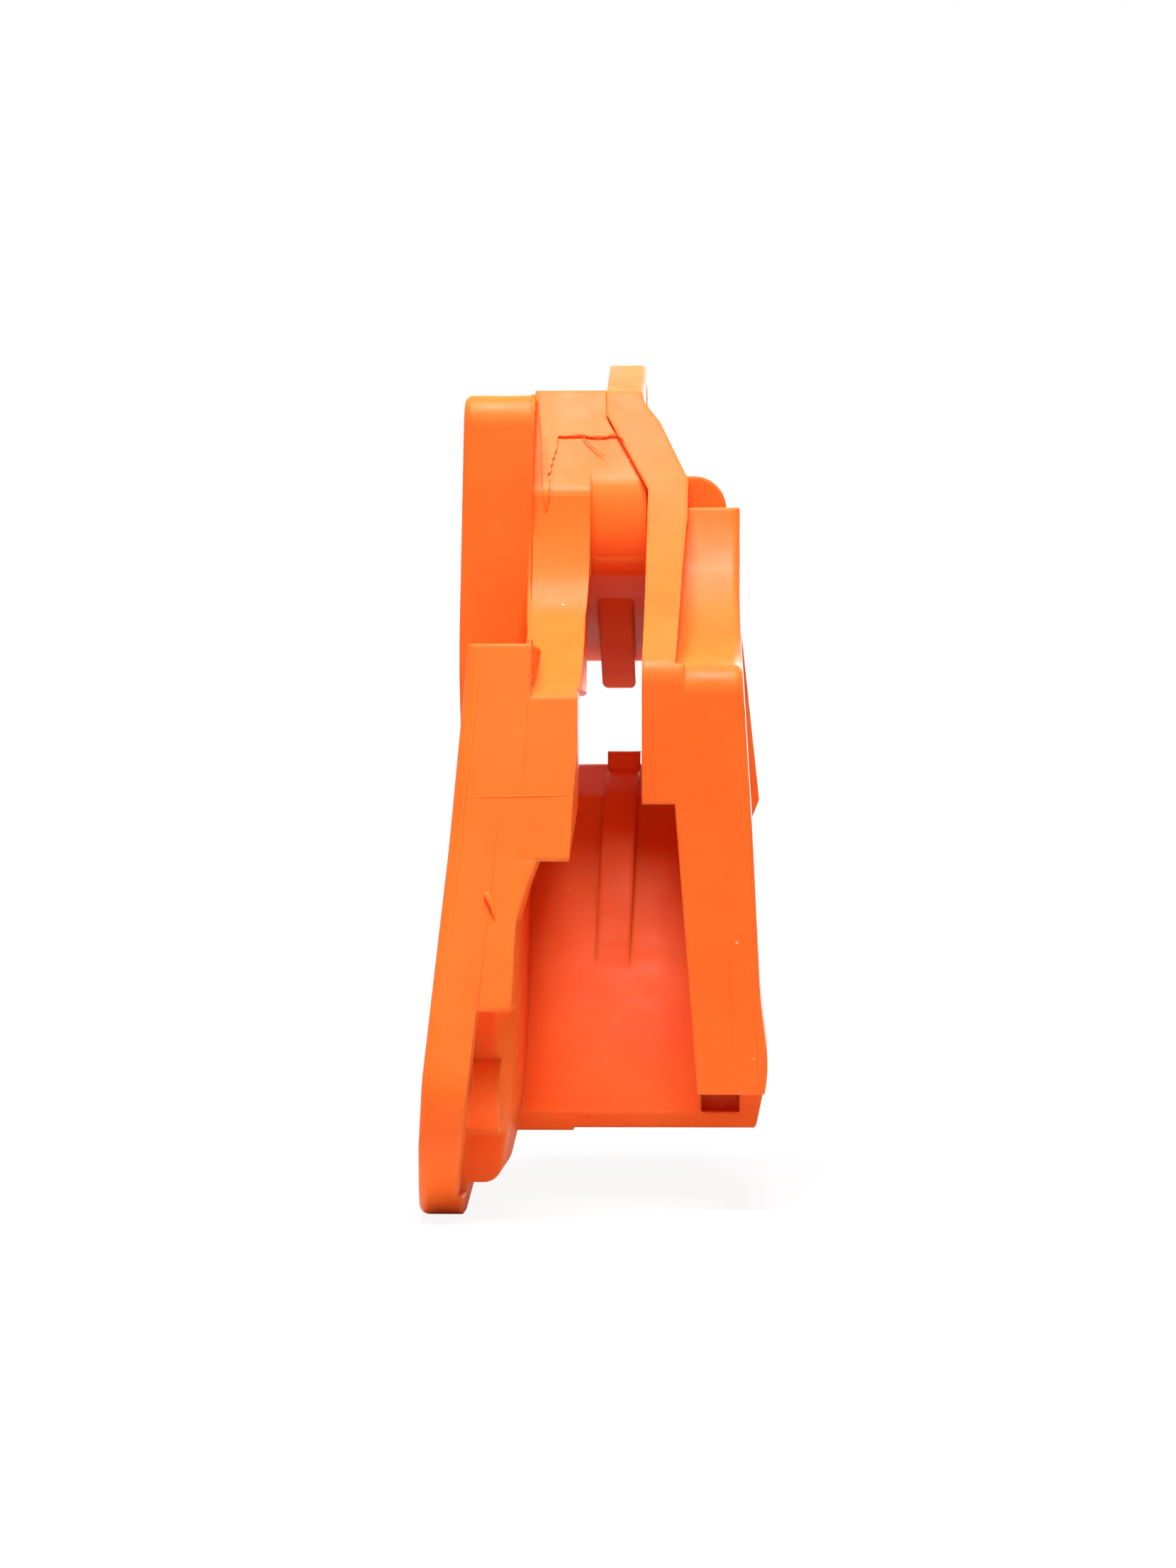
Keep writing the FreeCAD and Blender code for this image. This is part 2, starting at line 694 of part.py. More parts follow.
lip_root = pad("lip_root", "YZ_Plane", -of("left_wall") - 0.5, -of("lip_root_width"), [
    Corner(-left_lip_back, -of("left_lip_drop")),
    Corner(-leg_front(of("lip_root_drop")), -of("lip_root_drop")),
    Corner(-of("lip_root_back"), -of("lip_root_drop")),
    Corner(-of("lip_root_back"), -of("left_lip_drop")),
])
lip_root_side = cut("lip_root_side", "XZ_Plane", of("leg_back"), [
    Corner(-of("lip_root_width"), -of("left_lip_drop")),
    Corner(-of("lip_root_step"), -of("lip_root_step_drop")),
    Corner(-of("left_wall"), -of("lip_root_drop")),
    Corner(0, -of("lip_root_drop")),
    Corner(0, -of("left_lip_drop")),
])

# Foot: recess open to the channel, a step under it and a boss for the lower bolt
foot_start = of("foot_back") + OVER
recess = cut("recess", "XZ_Plane", foot_start, [
    Corner(-of("split_top"), above_keel("recess_height")),
    Corner(-of("split_low"), above_keel("step_height")),
    Corner(0, above_keel("step_height")),
    Corner(0, above_keel("recess_height")),
], depth=foot_start - of("recess_back"))
step = cut("step", "XZ_Plane", foot_start, [
    Corner(-of("split_low"), above_keel("step_height")),
    Corner(-of("split_foot"), below_keel("step_reach") - 1.4),
    Corner(0, below_keel("step_reach") - 1.4),
    Corner(0, above_keel("step_height")),
], depth=foot_start - of("step_back"))
foot_side = cut("foot_side", "XZ_Plane", of("leg_back"), [
    Corner(-of("foot_inner"), above_keel("foot_side_height")),
    Corner(-of("step_right"), below_keel("step_reach"), rounding=of("step_round")),
    Corner(-of("split_low") + 0.1, below_keel("step_reach")),
    Corner(-of("split_foot"), below_keel("foot_reach") - OVER),
    Corner(0, below_keel("foot_reach") - OVER),
    Corner(0, above_keel("foot_side_height")),
])
inner_chamfer = cut("inner_chamfer", "XY_Plane", above_keel("recess_height"), [
    Corner(-of("inner_chamfer"), -of("recess_back") - 0.5),
    Corner(-of("left_wall") - 0.3, -of("inner_chamfer_back")),
    Corner(0, -of("inner_chamfer_back")),
    Corner(0, -of("recess_back") - 0.5),
], depth=of("recess_height") + of("foot_reach"))
boss_outline = new_sketch("boss_outline", "YZ_Plane", -of("split_low"))
draw_circle(boss_outline, -of("boss_back"), above_keel("boss_height"), of("boss_radius"))
doc.recompute()
boss = body.newObject("PartDesign::Pad", "boss")
boss.Profile = boss_outline
boss_length = of("split_low") - of("boss_right")
boss.Length = boss_length.value
boss.setExpression("Length", boss_length.text)
doc.recompute()

# Block on the upper end of the left plate
block = pad("block", "YZ_Plane", -of("block_stock"), -of("block_right"), [
    Corner(-of("block_back"), -of("block_low_drop")),
    Corner(-of("block_back"), -of("block_drop"), rounding=of("block_round")),
    Corner(of("forward"), -of("block_drop"), rounding=of("block_front_round")),
    Corner(of("forward"), -of("block_low_drop")),
])
block_side = cut("block_side", "XZ_Plane", of("block_back"), [
    Corner(-of("block_left"), of("roof_rise")),
    Corner(-of("block_middle"), -of("block_middle_drop")),
    Corner(-of("block_middle"), -of("block_foot_drop")),
    Corner(-of("block_foot"), -of("block_low_drop")),
    Corner(-of("left_stock") - OVER, -of("block_low_drop")),
    Corner(-of("left_stock") - OVER, of("roof_rise")),
])
block_fillet = fillet("block_fillet", of("block_edge_round"), lambda edge: spans(
    edge, (None, -of("block_back").value, -of("block_middle_drop").value),
    (-of("block_left").value + 1, -of("block_back").value, None)))

# Drafted right wall of the channel
right_draft = cut("right_draft", "XZ_Plane", of("leg_back"), [
    Corner(of("right_wall"), -of("right_lip_drop")),
    Corner(of("right_wall_low"), above_keel("floor_lip_height")),
    Corner(of("right_wall") - 1.0, above_keel("floor_lip_height")),
    Corner(of("right_wall") - 1.0, -of("right_lip_drop")),
])

# Floor and ribs
floor = pad("floor", "YZ_Plane", -of("floor_left"), of("floor_right"), [
    Corner(-of("floor_back"), -of("keel_drop")),
    Corner(-of("floor_back"), above_keel("floor_lip_height"), arc=of("ramp_radius"), left=True),
    Corner(-of("crest_back"), -of("crest_drop")),
    Corner(of("front_forward"), -of("mouth_drop"), rounding=of("mouth_round")),
    Corner(of("forward"), -of("mouth_drop")),
    Corner(of("forward"), -of("belly_drop")),
    Corner(-of("keel_back"), -of("keel_drop")),
])
floor_rib = pad("floor_rib", "YZ_Plane", -of("rib_left"), of("rib_right"), [
    Corner(-of("rib_back"), above_keel("rib_height")),
    Corner(-of("rib_knee_back"), -of("rib_knee_drop"), rounding=of("rib_knee_round")),
    Corner(-of("rib_nub_back"), -of("rib_nub_drop")),
    Corner(-of("rib_nub_back"), -of("rib_top_drop"), rounding=of("rib_round")),
    Corner(of("rib_end_forward"), -of("rib_top_drop")),
    Corner(of("rib_end_forward"), -of("rib_heel_drop")),
    Corner(-of("rib_root_back"), above_keel("rib_root_height")),
], turn=-of("rib_lean"))
roof_rib = pad("roof_rib", "XZ_Plane", -of("front_forward"), of("roof_rib_back"), [
    Corner(-of("roof_rib_left"), -of("roof_rib_end_drop") + 1.0),
    Corner(-of("roof_rib_left"), -of("roof_rib_drop"), rounding=of("roof_rib_round")),
    Corner(of("roof_rib_right"), -of("roof_rib_drop"), rounding=of("roof_rib_round")),
    Corner(of("roof_rib_right"), -of("roof_rib_end_drop") + 1.0),
])
roof_rib_slope = cut("roof_rib_slope", "YZ_Plane", of("roof_rib_right") + 0.5, [
    Corner(-of("front_forward"), -of("roof_rib_drop")),
    Corner(-of("roof_rib_back") - 0.5, -of("roof_rib_end_drop")),
    Corner(-of("roof_rib_back") - 0.5, -of("roof_rib_drop") - 1.0),
    Corner(-of("front_forward"), -of("roof_rib_drop") - 1.0),
], depth=of("roof_rib_right") + of("roof_rib_left") + 1.0)
lip_step = pad("lip_step", "YZ_Plane", -of("floor_left"), -of("lip_step_right"), [
    Corner(-of("floor_back") - 0.2, above_keel("lip_step_height")),
    Corner(-of("floor_back") - 0.2, below_keel("lip_step_reach")),
    Corner(-of("lip_step_forward_back"), below_keel("lip_step_reach")),
    Corner(-of("lip_step_forward_back"), above_keel("lip_step_height")),
])
lip_pocket = cut("lip_pocket", "XZ_Plane", of("floor_back") + 1.0, [
    Corner(of("pocket_left"), above_keel("right_leg_height")),
    Corner(of("pocket_left"), above_keel("floor_lip_height")),
    Corner(of("pocket_right"), above_keel("floor_lip_height")),
    Corner(of("pocket_right"), above_keel("right_leg_height")),
], depth=of("pocket_depth") + 1.0)


# Holes for the two bolts that hold the guide
def bolt_hole(name, offset, centre, radius, depth, from_left=False):
    sketch = new_sketch(name + "_circle", "YZ_Plane", offset)
    if centre:
        draw_circle(sketch, centre[0], centre[1], radius)
    else:
        circle = Part.Circle(FreeCAD.Vector(0, 0, 0), FreeCAD.Vector(0, 0, 1), radius.value)
        index = sketch.addGeometry(circle, False)
        sketch.addConstraint(Sketcher.Constraint("Coincident", index, 3, -1, 1))
        bind(sketch, Sketcher.Constraint("Radius", index, radius.value), radius)
    doc.recompute()
    return pocket(name, sketch, depth, from_left)


ear_hole = bolt_hole("ear_hole", of("ear_right") + of("bolt_radius"), None, of("bolt_radius"),
                     of("ear_right") + of("bolt_radius") + of("ear_left") + OVER)
foot_hole = bolt_hole("foot_hole", -of("left_stock") - OVER,
                      (-of("boss_back"), above_keel("boss_height")), of("foot_bolt_radius"),
                      of("left_stock") + OVER - of("foot_bolt_end"), True)


def failed(item):
    return any(word in item.State for word in ("Invalid", "Error"))


for item in doc.Objects:
    if failed(item):
        raise RuntimeError(item.Name + " failed: " + str(item.State))
if body.Shape.isNull() or not body.Shape.isValid():
    raise RuntimeError("the casting is not a valid solid")
if len(body.Shape.Solids) != 1:
    raise RuntimeError("the casting is in %d pieces" % len(body.Shape.Solids))
body.Shape.exportStep("parts/guide_body.step")
print("volume", round(body.Shape.Volume), "box", body.Shape.BoundBox)
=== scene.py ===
import math
import bpy
from mathutils import Euler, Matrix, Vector


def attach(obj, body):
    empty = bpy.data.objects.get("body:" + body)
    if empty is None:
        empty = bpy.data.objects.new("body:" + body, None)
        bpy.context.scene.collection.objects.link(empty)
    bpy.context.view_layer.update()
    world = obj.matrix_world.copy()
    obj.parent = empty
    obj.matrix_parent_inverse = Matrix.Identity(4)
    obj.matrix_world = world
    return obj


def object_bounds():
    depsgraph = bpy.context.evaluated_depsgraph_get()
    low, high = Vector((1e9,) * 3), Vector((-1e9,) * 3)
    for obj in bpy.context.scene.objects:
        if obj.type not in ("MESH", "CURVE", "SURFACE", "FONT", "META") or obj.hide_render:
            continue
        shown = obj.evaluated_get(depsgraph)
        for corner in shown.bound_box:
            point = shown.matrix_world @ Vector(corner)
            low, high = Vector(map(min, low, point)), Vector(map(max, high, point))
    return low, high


MM = 0.001

# The plastic: two shades of its body, its streaks, its paler edges (partly wear, partly a painted highlight)
# and the dust in it
ORANGE = (0.99, 0.14, 0.016, 1.0)
PALE_ORANGE = (1.0, 0.16, 0.02, 1.0)
STREAK = (1.0, 0.185, 0.027, 1.0)
EDGE_WEAR_AND_HIGHLIGHT = (1.0, 0.25, 0.06, 1.0)
PALE_DUST = (1.0, 0.55, 0.32, 1.0)
DARK_DUST = (0.42, 0.03, 0.01, 1.0)
SHEEN = 0.11

# How much light goes into the plastic, how far each colour of it goes, and how round the edges look
BODY_GLOW = 0.4
THIN_GLOW = 0.0
GLOW_SHARES = (1.0, 0.3, 0.12)
GLOW_REACH = 3.0 * MM
BODY_SOFTNESS = 1.0 * MM
THIN_SOFTNESS = 0.2 * MM

# The camera stands behind the guide, level with the chain's way through it
EYE = Vector((0.02243, -0.78457, -0.0596))
EYE_TURN = Euler((math.radians(90.0), 0.0, math.radians(2.0)))
LENS = 113.92
FILM = 36.0
PHOTO_WIDE = 1659
PHOTO_HIGH = 2212

# The studio's lamps: name, place, what each points at, size and power
LAMPS = (
    ("top_lamp", (-0.02, -0.20, 0.58), (0.0, -0.05, -0.06), (0.34, 0.24), 9.8),
    ("front_lamp", (0.12, -0.62, 0.30), (0.0, -0.05, -0.09), (0.20, 0.20), 0.5),
    ("far_lamp", (0.02, 0.60, 0.06), (0.0, 0.0, -0.06), (0.40, 0.40), 3.0))
ROOM = (1.0, 0.98, 0.96, 1.0)
ROOM_LIGHT = 0.14
WHITE = (1.0, 1.0, 1.0, 1.0)
PAPER = (0.65, 0.65, 0.65, 1.0)
PAPER_SIZE = 6.0
PAPER_GAP = 0.0004

# Faces of the guide that the slabs and the flash lie along, in millimetres
BLOCK_SIDE = -11.95
SLOT_LEFT = -3.25
SLOT_RIGHT = 5.15
SKIN_THICKNESS = 0.7 * MM
BEAD_SIDES = 8

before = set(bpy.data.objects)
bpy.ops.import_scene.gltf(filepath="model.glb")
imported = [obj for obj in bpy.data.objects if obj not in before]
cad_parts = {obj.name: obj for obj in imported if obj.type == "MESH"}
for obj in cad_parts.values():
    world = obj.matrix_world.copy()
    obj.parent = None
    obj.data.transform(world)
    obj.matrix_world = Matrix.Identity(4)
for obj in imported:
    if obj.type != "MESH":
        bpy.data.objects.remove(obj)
cad_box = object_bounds()
scene = bpy.context.scene
scene.view_settings.view_transform = "Standard"
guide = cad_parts["guide_body"]


def look_at_guide():
    data = bpy.data.cameras.new("camera")
    data.lens = LENS
    data.sensor_width = FILM
    data.clip_start = 0.05
    data.clip_end = 20.0
    camera = bpy.data.objects.new("camera", data)
    camera.location = EYE
    camera.rotation_euler = EYE_TURN
    scene.collection.objects.link(camera)
    scene.camera = camera


def soft_lamp(name, place, target, size, power):
    data = bpy.data.lights.new(name, "AREA")
    data.shape = "RECTANGLE"
    data.size, data.size_y = size
    data.energy = power
    lamp = bpy.data.objects.new(name, data)
    lamp.location = place
    aim = Vector(target) - Vector(place)
    lamp.rotation_euler = aim.to_track_quat("-Z", "Y").to_euler()
    scene.collection.objects.link(lamp)


def light_studio():
    for lamp in LAMPS:
        soft_lamp(*lamp)
    world = bpy.data.worlds.new("studio")
    scene.world = world
    world.use_nodes = True
    nodes = world.node_tree.nodes
    links = world.node_tree.links
    nodes.clear()
    rays = nodes.new("ShaderNodeLightPath")
    room = nodes.new("ShaderNodeBackground")
    room.inputs["Color"].default_value = ROOM
    room.inputs["Strength"].default_value = ROOM_LIGHT
    backdrop = nodes.new("ShaderNodeBackground")
    backdrop.inputs["Color"].default_value = WHITE
    backdrop.inputs["Strength"].default_value = 1.0
    seen = nodes.new("ShaderNodeMixShader")
    out = nodes.new("ShaderNodeOutputWorld")
    # Gloss shows the white backdrop beyond the guide, and the dim room in front of it
    way = nodes.new("ShaderNodeTexCoord")
    split = nodes.new("ShaderNodeSeparateXYZ")
    beyond = nodes.new("ShaderNodeMapRange")
    beyond.inputs["From Min"].default_value = -0.3
    beyond.inputs["From Max"].default_value = 0.6
    gloss = nodes.new("ShaderNodeMath")
    gloss.operation = "MULTIPLY"
    white = nodes.new("ShaderNodeMath")
    white.operation = "MAXIMUM"
    links.new(way.outputs["Generated"], split.inputs["Vector"])
    links.new(split.outputs["Y"], beyond.inputs["Value"])
    links.new(beyond.outputs["Result"], gloss.inputs[0])
    links.new(rays.outputs["Is Glossy Ray"], gloss.inputs[1])
    links.new(gloss.outputs["Value"], white.inputs[0])
    links.new(rays.outputs["Is Camera Ray"], white.inputs[1])
    links.new(white.outputs["Value"], seen.inputs["Fac"])
    links.new(room.outputs["Background"], seen.inputs[1])
    links.new(backdrop.outputs["Background"], seen.inputs[2])
    links.new(seen.outputs["Shader"], out.inputs["Surface"])


def lay_floor():
    bpy.ops.object.select_all(action="DESELECT")
    bpy.ops.mesh.primitive_plane_add(size=PAPER_SIZE, location=(0.0, 0.0, cad_box[0].z - PAPER_GAP))
    floor = bpy.context.active_object
    floor.name = "floor"
    bpy.ops.object.transform_apply(location=True, rotation=True, scale=True)
    paper = bpy.data.materials.new("white_paper")
    paper.use_nodes = True
    nodes = paper.node_tree.nodes
    links = paper.node_tree.links
    nodes.clear()
    rays = nodes.new("ShaderNodeLightPath")
    matt = nodes.new("ShaderNodeBsdfDiffuse")
    matt.inputs["Color"].default_value = PAPER
    white = nodes.new("ShaderNodeEmission")
    white.inputs["Strength"].default_value = 1.0
    # The paper's shade shows around the guide and fades to plain white further off
    place = nodes.new("ShaderNodeTexCoord")
    span = nodes.new("ShaderNodeVectorMath")
    span.operation = "LENGTH"
    fade = nodes.new("ShaderNodeMapRange")
    fade.inputs["From Min"].default_value = 0.12
    fade.inputs["From Max"].default_value = 0.6
    fade.inputs["To Min"].default_value = 0.9
    links.new(place.outputs["Object"], span.inputs[0])
    links.new(span.outputs["Value"], fade.inputs["Value"])
    share = nodes.new("ShaderNodeMath")
    share.operation = "MULTIPLY"
    seen = nodes.new("ShaderNodeMixShader")
    out = nodes.new("ShaderNodeOutputMaterial")
    links.new(rays.outputs["Is Camera Ray"], share.inputs[0])
    links.new(fade.outputs["Result"], share.inputs[1])
    links.new(share.outputs["Value"], seen.inputs["Fac"])
    links.new(matt.outputs["BSDF"], seen.inputs[1])
    links.new(white.outputs["Emission"], seen.inputs[2])
    links.new(seen.outputs["Shader"], out.inputs["Surface"])
    floor.data.materials.append(paper)


class Wiring:
    """The nodes of one finish, with short ways to add and join them."""

    def __init__(self, name):
        self.material = bpy.data.materials.new(name)
        self.material.use_nodes = True
        self.nodes = self.material.node_tree.nodes
        self.links = self.material.node_tree.links
        self.shader = self.nodes["Principled BSDF"]
        self.place = self.nodes.new("ShaderNodeTexCoord").outputs["Object"]

    def join(self, source, target):
        self.links.new(source, target)

    def noise(self, scale, detail, stretch=None):
        node = self.nodes.new("ShaderNodeTexNoise")
        node.inputs["Scale"].default_value = scale
        node.inputs["Detail"].default_value = detail
        source = self.place
        if stretch is not None:
            spread = self.nodes.new("ShaderNodeMapping")
            spread.inputs["Scale"].default_value = stretch
            self.join(self.place, spread.inputs["Vector"])
            source = spread.outputs["Vector"]
        self.join(source, node.inputs["Vector"])
        return node.outputs["Fac"]

    def ramp(self, value, low, high, start=0.0, end=1.0):
        node = self.nodes.new("ShaderNodeMapRange")
        node.inputs["From Min"].default_value = low
        node.inputs["From Max"].default_value = high
        node.inputs["To Min"].default_value = start
        node.inputs["To Max"].default_value = end
        self.join(value, node.inputs["Value"])
        return node.outputs["Result"]

    def reckon(self, kind, first, second):
        node = self.nodes.new("ShaderNodeMath")
        node.operation = kind
        for socket, value in enumerate((first, second)):
            if isinstance(value, float):
                node.inputs[socket].default_value = value
            else:
                self.join(value, node.inputs[socket])
        return node.outputs["Value"]

    def tint(self, share, first, second):
        """The first colour, and as much of the second as the share says."""
        node = self.nodes.new("ShaderNodeMix")
        node.data_type = "RGBA"
        self.join(share, node.inputs["Factor"])
        for socket, colour in ((6, first), (7, second)):
            if isinstance(colour, tuple):
                node.inputs[socket].default_value = colour
            else:
                self.join(colour, node.inputs[socket])
        return node.outputs[2]

    def bump(self, height, depth, strength, under):
        node = self.nodes.new("ShaderNodeBump")
        node.inputs["Distance"].default_value = depth
        node.inputs["Strength"].default_value = strength
        self.join(height, node.inputs["Height"])
        self.join(under, node.inputs["Normal"])
        return node.outputs["Normal"]


def pour_colour(finish, deep, pale):
    """Clouding from the pour, and paler streaks where the plastic ran down the mould."""
    clouds = finish.ramp(finish.noise(70.0, 3.0), 0.35, 0.65)
    body = finish.tint(clouds, deep, pale)
    streaks = finish.noise(120.0, 2.0, (1.0, 1.0, 0.12))
    return finish.tint(finish.ramp(streaks, 0.5, 0.8, 0.0, 0.35), body, STREAK)


def find_edge_wear_and_highlight(finish, rounding):
    """Edges, where the rounded and the true facing part: rubbed skin, and a paler tint there that is partly a
    painted highlight.
    """
    facing = finish.nodes.new("ShaderNodeNewGeometry")
    match = finish.nodes.new("ShaderNodeVectorMath")
    match.operation = "DOT_PRODUCT"
    finish.join(rounding.outputs["Normal"], match.inputs[0])
    finish.join(facing.outputs["Normal"], match.inputs[1])
    edge = finish.ramp(match.outputs["Value"], 0.985, 0.9)
    patches = finish.ramp(finish.noise(260.0, 3.0), 0.35, 0.6, 0.25, 1.0)
    return finish.reckon("MULTIPLY", edge, patches)


def scatter_dust(finish, body):
    """A few pale and a few dark specks, a tenth to a third of a millimetre."""
    for label, scale, size, share, colour in (("pale", 420.0, 0.09, 0.955, PALE_DUST),
                                              ("dark", 300.0, 0.055, 0.965, DARK_DUST)):
        cells = finish.nodes.new("ShaderNodeTexVoronoi")
        cells.name = label
        cells.inputs["Scale"].default_value = scale
        finish.join(finish.place, cells.inputs["Vector"])
        parts = finish.nodes.new("ShaderNodeSeparateColor")
        finish.join(cells.outputs["Color"], parts.inputs["Color"])
        chosen = finish.reckon("GREATER_THAN", parts.outputs["Red"], share)
        spot = finish.ramp(cells.outputs["Distance"], size, size * 0.6)
        body = finish.tint(finish.reckon("MULTIPLY", chosen, spot), body, colour)
    return body


def step_ramp(finish):
    """Fine steps of the mould lie across the ramp under the sprocket slot."""
    split = finish.nodes.new("ShaderNodeSeparateXYZ")
    finish.join(finish.place, split.inputs["Vector"])
    inside = finish.ramp(split.outputs["Y"], -0.078, -0.070)
    low = finish.ramp(split.outputs["Z"], -0.052, -0.058)
    steps = finish.nodes.new("ShaderNodeTexWave")
    steps.bands_direction = "Z"
    steps.wave_profile = "SAW"
    steps.inputs["Scale"].default_value = 330.0
    steps.inputs["Distortion"].default_value = 0.6
    steps.inputs["Detail"].default_value = 1.0
    finish.join(finish.place, steps.inputs["Vector"])
    return finish.reckon("MULTIPLY", finish.reckon("MULTIPLY", inside, low), steps.outputs["Fac"])


def cast_plastic(name, glow, softness, deep, pale):
    """Orange cast polyurethane: light goes a little way in, edges are worn soft, and their paler tint is
    partly wear, partly a painted highlight.
    """
    finish = Wiring(name)
    shader = finish.shader
    shader.inputs["Specular IOR Level"].default_value = SHEEN
    shader.inputs["Subsurface Weight"].default_value = glow
    shader.inputs["Subsurface Radius"].default_value = GLOW_SHARES
    shader.inputs["Subsurface Scale"].default_value = GLOW_REACH

    rounding = finish.nodes.new("ShaderNodeBevel")
    rounding.samples = 6
    rounding.inputs["Radius"].default_value = softness

    body = pour_colour(finish, deep, pale)
    edge_wear_and_highlight = find_edge_wear_and_highlight(finish, rounding)
    # Edges tinted paler: partly wear, partly a painted highlight on the rounded edges
    body = finish.tint(finish.reckon("MULTIPLY", edge_wear_and_highlight, 0.55), body, EDGE_WEAR_AND_HIGHLIGHT)
    finish.join(scatter_dust(finish, body), shader.inputs["Base Color"])

    # Satin skin, duller where it is rubbed and in soft patches
    skin = finish.ramp(finish.noise(180.0, 2.0), 0.3, 0.7, 0.36, 0.5)
    dull = finish.reckon("MULTIPLY", edge_wear_and_highlight, 0.12)
    finish.join(finish.reckon("ADD", skin, dull), shader.inputs["Roughness"])

    steps = step_ramp(finish)
    grain = finish.bump(finish.noise(2600.0, 3.0), 0.0002, 0.07, rounding.outputs["Normal"])
    waves = finish.bump(finish.noise(240.0, 2.0), 0.0004, 0.12, grain)
    finish.join(finish.bump(steps, 0.0001, 0.5, waves), shader.inputs["Normal"])
    return finish.material


def seen_at(across, down):
    """The place on the guide's skin that shows at this point of the photograph, and its facing."""
    scale = LENS / FILM * PHOTO_HIGH
    way = Vector(((across - PHOTO_WIDE / 2) / scale, (PHOTO_HIGH / 2 - down) / scale, -1.0))
    way.rotate(EYE_TURN)
    hit, place, facing, _ = guide.ray_cast(EYE, way.normalized())
    if not hit:
        raise SystemExit(f"nothing of the guide shows at {across}, {down}")
    return place, facing


def finish_piece(piece, smooth):
    bpy.ops.object.mode_set(mode="EDIT")
    bpy.ops.mesh.select_all(action="SELECT")
    bpy.ops.mesh.normals_make_consistent(inside=False)
    bpy.ops.object.mode_set(mode="OBJECT")
    bpy.ops.object.shade_smooth_by_angle(angle=math.radians(smooth))
    piece.data.materials.clear()
    piece.data.materials.append(thin_plastic)
    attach(piece, "root")


def pull_bead(name, marks, lift):
    """A thin raised line of plastic along marks of the photograph: across, down and width."""
    rings = []
    for across, down, width in marks:
        place, facing = seen_at(across, down)
        rings.append((place + facing * lift * MM, width * MM))
    draw_bead(name, rings)


def draw_bead(name, rings):
    """A thin round line of plastic, pulled ring by ring from place to place."""
    start, width = rings[0]
    run = (rings[1][0] - start).normalized()
    bpy.ops.object.select_all(action="DESELECT")
    bpy.ops.mesh.primitive_circle_add(vertices=BEAD_SIDES, radius=width / 2, fill_type="NGON", location=start,
                                      rotation=run.to_track_quat("Z", "Y").to_euler())
    piece = bpy.context.active_object
    piece.name = name
    bpy.ops.object.transform_apply(location=True, rotation=True, scale=True)
    bpy.ops.object.mode_set(mode="EDIT")
    bpy.ops.mesh.select_all(action="SELECT")
    for place, new_width in rings[1:]:
        bpy.ops.mesh.extrude_region_move(TRANSFORM_OT_translate={"value": place - start})
        bpy.ops.transform.resize(value=(new_width / width,) * 3, center_override=place)
        start = place
        width = new_width
    bpy.ops.object.mode_set(mode="OBJECT")
    finish_piece(piece, 50)


def draw_slab(name, left, rows, depth):
    """A slab whose outer face runs down through rows of right edge, y and z; it is bedded in the guide."""
    right, y, z = rows[0]
    middle = ((left + right) / 2 * MM, (y + depth / 2) * MM, z * MM)
    bpy.ops.object.select_all(action="DESELECT")
    bpy.ops.mesh.primitive_plane_add(size=1.0, location=middle)
    piece = bpy.context.active_object
    piece.name = name
    piece.scale = ((right - left) * MM, depth * MM, 1.0)
    bpy.ops.object.transform_apply(location=True, rotation=True, scale=True)
    bpy.ops.object.mode_set(mode="EDIT")
    bpy.ops.mesh.select_all(action="SELECT")
    for new_right, new_y, new_z in rows[1:]:
        move = Vector((0.0, new_y - y, new_z - z)) * MM
        bpy.ops.mesh.extrude_region_move(TRANSFORM_OT_translate={"value": move})
        widen = (new_right - left) / (right - left)
        bpy.ops.transform.resize(value=(widen, 1.0, 1.0), center_override=(left * MM, new_y * MM, new_z * MM))
        right, y, z = new_right, new_y, new_z
    bpy.ops.object.mode_set(mode="OBJECT")
    finish_piece(piece, 40)


def curve(start, knee, end, count):
    """Points of a smooth bow from start to end that leans towards the knee."""
    points = []
    for step in range(count + 1):
        t = step / count
        points.append(tuple((1 - t) ** 2 * a + 2 * t * (1 - t) * b + t * t * c
                            for a, b, c in zip(start, knee, end)))
    return points


def fill_cheek_corner():
    """The left cheek runs out of the nose in one soft hollow sweep."""
    rows = curve((-3.24, -36.95, -16.0), (-3.3, -38.4, -30.1), (-3.8, -45.4, -34.68), 16)
    draw_slab("cheek_sweep", BLOCK_SIDE, rows, 5.0)


def swell_dome():
    """The middle of the nose bellies out between the slope and its underside."""
    belly = ((-33.7, -12.2), (-34.75, -13.3), (-35.45, -14.8), (-35.95, -16.6), (-36.2, -18.6),
             (-36.25, -20.6), (-36.1, -22.6), (-35.75, -24.5), (-35.25, -26.0), (-34.5, -27.3))
    draw_slab("nose_swell", SLOT_LEFT, [(SLOT_RIGHT, y, z) for y, z in belly], 3.0)


